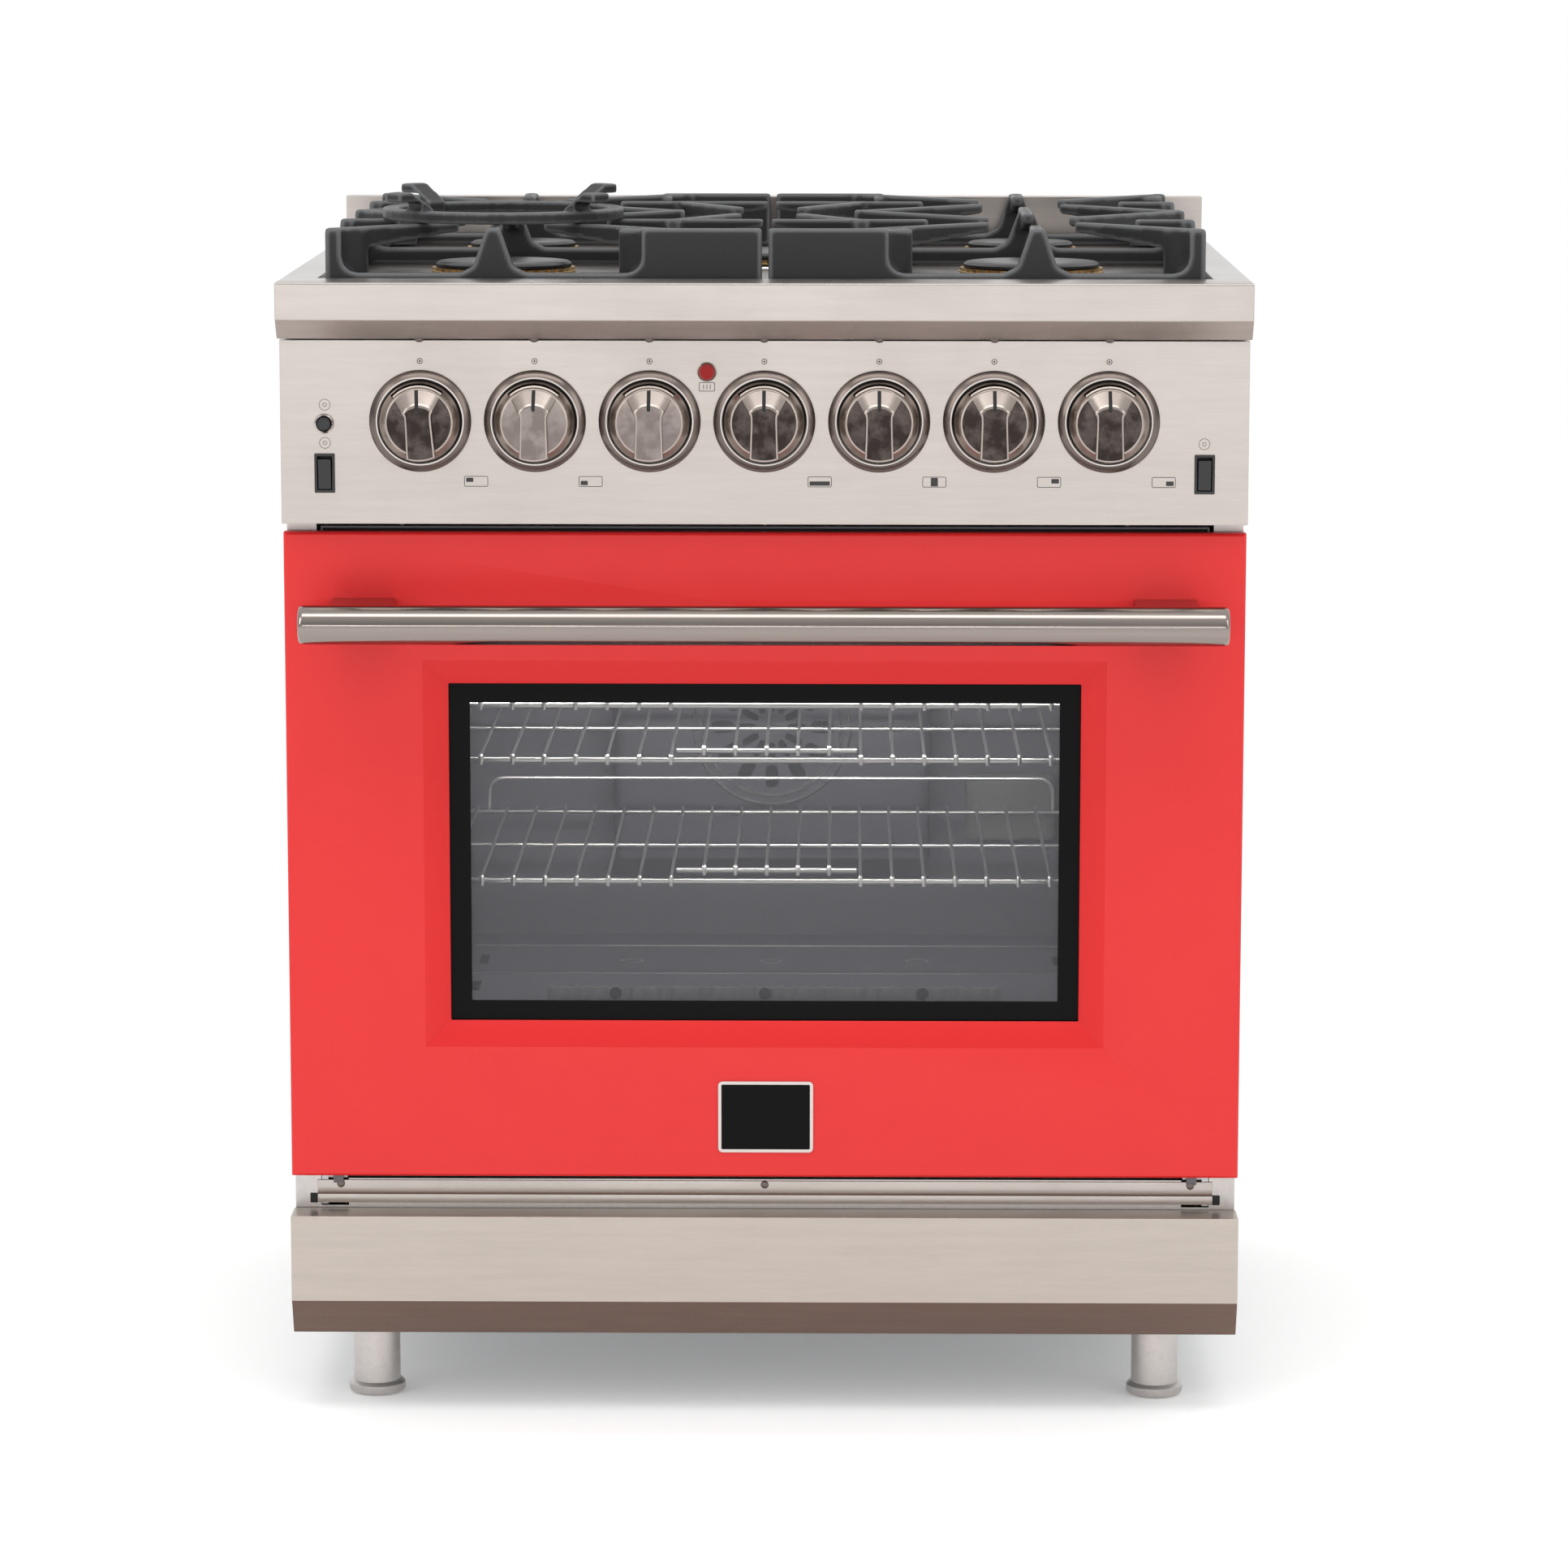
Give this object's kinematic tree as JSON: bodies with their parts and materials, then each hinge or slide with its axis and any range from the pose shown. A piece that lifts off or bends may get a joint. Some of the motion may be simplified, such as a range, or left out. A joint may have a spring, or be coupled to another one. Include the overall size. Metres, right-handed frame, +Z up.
{
  "type": "gas range",
  "caption": "Freestanding gas range with a drop-down oven door, cast-iron grates, a wok ring and control knobs on a steel panel.",
  "frame": {"origin": "on the floor plane, at the middle of the range's width and of its depth over the handle and the back panel", "axes": "+Z up; -Y towards the cook, where the oven door and knobs are; +X to the right as seen from the front"},
  "size_m": [0.762, 0.698, 0.9778],
  "materials": {
    "red_enamel": "glossy red vitreous enamel on sheet steel",
    "brushed_steel": "brushed stainless steel, grain along the width",
    "zinc_sheet": "plain galvanised sheet steel",
    "grey_enamel": "dark grey oven enamel with fine light flecks",
    "cast_iron": "matt black enamelled cast iron, sand-cast skin",
    "brass": "plain machined brass",
    "chrome_wire": "bright plated wire",
    "dark_glass": "tinted oven glass",
    "lamp_glass": "clear moulded lamp cover",
    "black_plastic": "black switch plastic",
    "red_lens": "translucent red lens"
  },
  "bodies": {
    "cabinet": {"control_panel": "brushed_steel", "front_rail": "brushed_steel", "kick_panel": "brushed_steel", "cooktop": "brushed_steel", "backguard": "brushed_steel", "side_panel_left": "brushed_steel", "side_panel_right": "brushed_steel", "front_frame": "brushed_steel", "burner_left_front": "brass", "burner_left_rear": "brass", "switch_housing_left": "black_plastic", "hinge_bracket_left": "zinc_sheet", "burner_right_front": "brass", "burner_right_rear": "brass", "switch_housing_right": "black_plastic", "hinge_bracket_right": "zinc_sheet", "burner_middle": "brass", "back_panel": "zinc_sheet", "base_pan": "zinc_sheet", "gas_manifold": "zinc_sheet", "bake_burner": "zinc_sheet", "fan_motor": "zinc_sheet", "oven_liner": "grey_enamel", "oven_floor": "grey_enamel", "fan_baffle": "grey_enamel", "oven_lamp": "lamp_glass", "indicator_lamp": "red_lens"},
    "stem_left_rear": {"valve_stem_left_rear": "brass"},
    "dial_left_rear": {"knob_left_rear": "brushed_steel"},
    "stem_left_front": {"valve_stem_left_front": "brass"},
    "dial_left_front": {"knob_left_front": "brushed_steel"},
    "stem_oven_heat": {"valve_stem_oven_heat": "brass"},
    "dial_oven_heat": {"knob_oven_heat": "brushed_steel"},
    "stem_oven_mode": {"valve_stem_oven_mode": "brass"},
    "dial_oven_mode": {"knob_oven_mode": "brushed_steel"},
    "stem_middle": {"valve_stem_middle": "brass"},
    "dial_middle": {"knob_middle": "brushed_steel"},
    "stem_right_rear": {"valve_stem_right_rear": "brass"},
    "dial_right_rear": {"knob_right_rear": "brushed_steel"},
    "stem_right_front": {"valve_stem_right_front": "brass"},
    "dial_right_front": {"knob_right_front": "brushed_steel"},
    "door": {"door_panel": "red_enamel", "door_inner_panel": "grey_enamel", "door_glass_outer": "dark_glass", "handle_bar": "brushed_steel", "handle_post_left": "brushed_steel", "handle_post_right": "brushed_steel"},
    "left_grate": {"grate_left": "cast_iron"},
    "right_grate": {"grate_right": "cast_iron"},
    "ring": {"wok_ring": "cast_iron"},
    "upper_rack": {"rack_upper": "chrome_wire"},
    "lower_rack": {"rack_lower": "chrome_wire"},
    "fan_wheel": {"fan": "zinc_sheet"},
    "left_rocker": {"rocker_left": "black_plastic"},
    "right_rocker": {"rocker_right": "black_plastic"},
    "igniter_button": {"ignition_button": "brushed_steel"},
    "foot_left_front": {"leg_left_front": "brushed_steel"},
    "foot_right_front": {"leg_right_front": "brushed_steel"},
    "foot_left_rear": {"leg_left_rear": "brushed_steel"},
    "foot_right_rear": {"leg_right_rear": "brushed_steel"}
  },
  "joints": [
    {"name": "turn_left_rear", "type": "hinge", "parent": "cabinet", "child": "stem_left_rear", "pos_m": [-0.27, -0.294, 0.8044], "axis": [0, -1, 0], "range_deg": [0, 240]},
    {"name": "push_left_rear", "type": "slide", "parent": "stem_left_rear", "child": "dial_left_rear", "axis": [0, 1, 0], "range_m": [0, 0.004], "stiffness_N_per_m": 500, "springref_m": -0.002},
    {"name": "turn_left_front", "type": "hinge", "parent": "cabinet", "child": "stem_left_front", "pos_m": [-0.18, -0.294, 0.8044], "axis": [0, -1, 0], "range_deg": [0, 240]},
    {"name": "push_left_front", "type": "slide", "parent": "stem_left_front", "child": "dial_left_front", "axis": [0, 1, 0], "range_m": [0, 0.004], "stiffness_N_per_m": 500, "springref_m": -0.002},
    {"name": "turn_oven_heat", "type": "hinge", "parent": "cabinet", "child": "stem_oven_heat", "pos_m": [-0.09, -0.294, 0.8044], "axis": [0, -1, 0], "range_deg": [0, 300]},
    {"name": "push_oven_heat", "type": "slide", "parent": "stem_oven_heat", "child": "dial_oven_heat", "axis": [0, 1, 0], "range_m": [0, 0.004], "stiffness_N_per_m": 500, "springref_m": -0.002},
    {"name": "turn_oven_mode", "type": "hinge", "parent": "cabinet", "child": "stem_oven_mode", "pos_m": [0, -0.294, 0.8044], "axis": [0, -1, 0], "range_deg": [0, 270]},
    {"name": "push_oven_mode", "type": "slide", "parent": "stem_oven_mode", "child": "dial_oven_mode", "axis": [0, 1, 0], "range_m": [0, 0.004], "stiffness_N_per_m": 500, "springref_m": -0.002},
    {"name": "turn_middle", "type": "hinge", "parent": "cabinet", "child": "stem_middle", "pos_m": [0.09, -0.294, 0.8044], "axis": [0, -1, 0], "range_deg": [0, 240]},
    {"name": "push_middle", "type": "slide", "parent": "stem_middle", "child": "dial_middle", "axis": [0, 1, 0], "range_m": [0, 0.004], "stiffness_N_per_m": 500, "springref_m": -0.002},
    {"name": "turn_right_rear", "type": "hinge", "parent": "cabinet", "child": "stem_right_rear", "pos_m": [0.18, -0.294, 0.8044], "axis": [0, -1, 0], "range_deg": [0, 240]},
    {"name": "push_right_rear", "type": "slide", "parent": "stem_right_rear", "child": "dial_right_rear", "axis": [0, 1, 0], "range_m": [0, 0.004], "stiffness_N_per_m": 500, "springref_m": -0.002},
    {"name": "turn_right_front", "type": "hinge", "parent": "cabinet", "child": "stem_right_front", "pos_m": [0.27, -0.294, 0.8044], "axis": [0, -1, 0], "range_deg": [0, 240]},
    {"name": "push_right_front", "type": "slide", "parent": "stem_right_front", "child": "dial_right_front", "axis": [0, 1, 0], "range_m": [0, 0.004], "stiffness_N_per_m": 500, "springref_m": -0.002},
    {"name": "door_hinge", "type": "hinge", "parent": "cabinet", "child": "door", "pos_m": [0, -0.256, 0.1912], "axis": [1, 0, 0], "range_deg": [0, 90], "stiffness_Nm_per_rad": 12, "springref_deg": -17.19},
    {"name": "left_grate_lift", "type": "slide", "parent": "cabinet", "child": "left_grate", "axis": [0, 0, 1], "range_m": [0, 0.06]},
    {"name": "right_grate_lift", "type": "slide", "parent": "cabinet", "child": "right_grate", "axis": [0, 0, 1], "range_m": [0, 0.06]},
    {"name": "ring_lift", "type": "slide", "parent": "left_grate", "child": "ring", "axis": [0, 0, 1], "range_m": [0, 0.06]},
    {"name": "upper_rack_slide", "type": "slide", "parent": "cabinet", "child": "upper_rack", "axis": [0, -1, 0], "range_m": [0, 0.03]},
    {"name": "lower_rack_slide", "type": "slide", "parent": "cabinet", "child": "lower_rack", "axis": [0, -1, 0], "range_m": [0, 0.03]},
    {"name": "fan_spin", "type": "hinge", "parent": "cabinet", "child": "fan_wheel", "pos_m": [0, 0.249, 0.4886], "axis": [0, 1, 0], "continuous": true},
    {"name": "left_rocker_tilt", "type": "hinge", "parent": "cabinet", "child": "left_rocker", "pos_m": [-0.3455, -0.284, 0.7632], "axis": [-1, 0, 0], "range_deg": [0, 14]},
    {"name": "right_rocker_tilt", "type": "hinge", "parent": "cabinet", "child": "right_rocker", "pos_m": [0.3455, -0.284, 0.7632], "axis": [-1, 0, 0], "range_deg": [0, 14]},
    {"name": "button_push", "type": "slide", "parent": "cabinet", "child": "igniter_button", "axis": [0, 1, 0], "range_m": [0, 0.003], "stiffness_N_per_m": 400, "springref_m": -0.002},
    {"name": "level_left_front", "type": "slide", "parent": "cabinet", "child": "foot_left_front", "axis": [0, 0, -1], "range_m": [0, 0.025]},
    {"name": "level_right_front", "type": "slide", "parent": "cabinet", "child": "foot_right_front", "axis": [0, 0, -1], "range_m": [0, 0.025]},
    {"name": "level_left_rear", "type": "slide", "parent": "cabinet", "child": "foot_left_rear", "axis": [0, 0, -1], "range_m": [0, 0.025]},
    {"name": "level_right_rear", "type": "slide", "parent": "cabinet", "child": "foot_right_rear", "axis": [0, 0, -1], "range_m": [0, 0.025]}
  ]
}
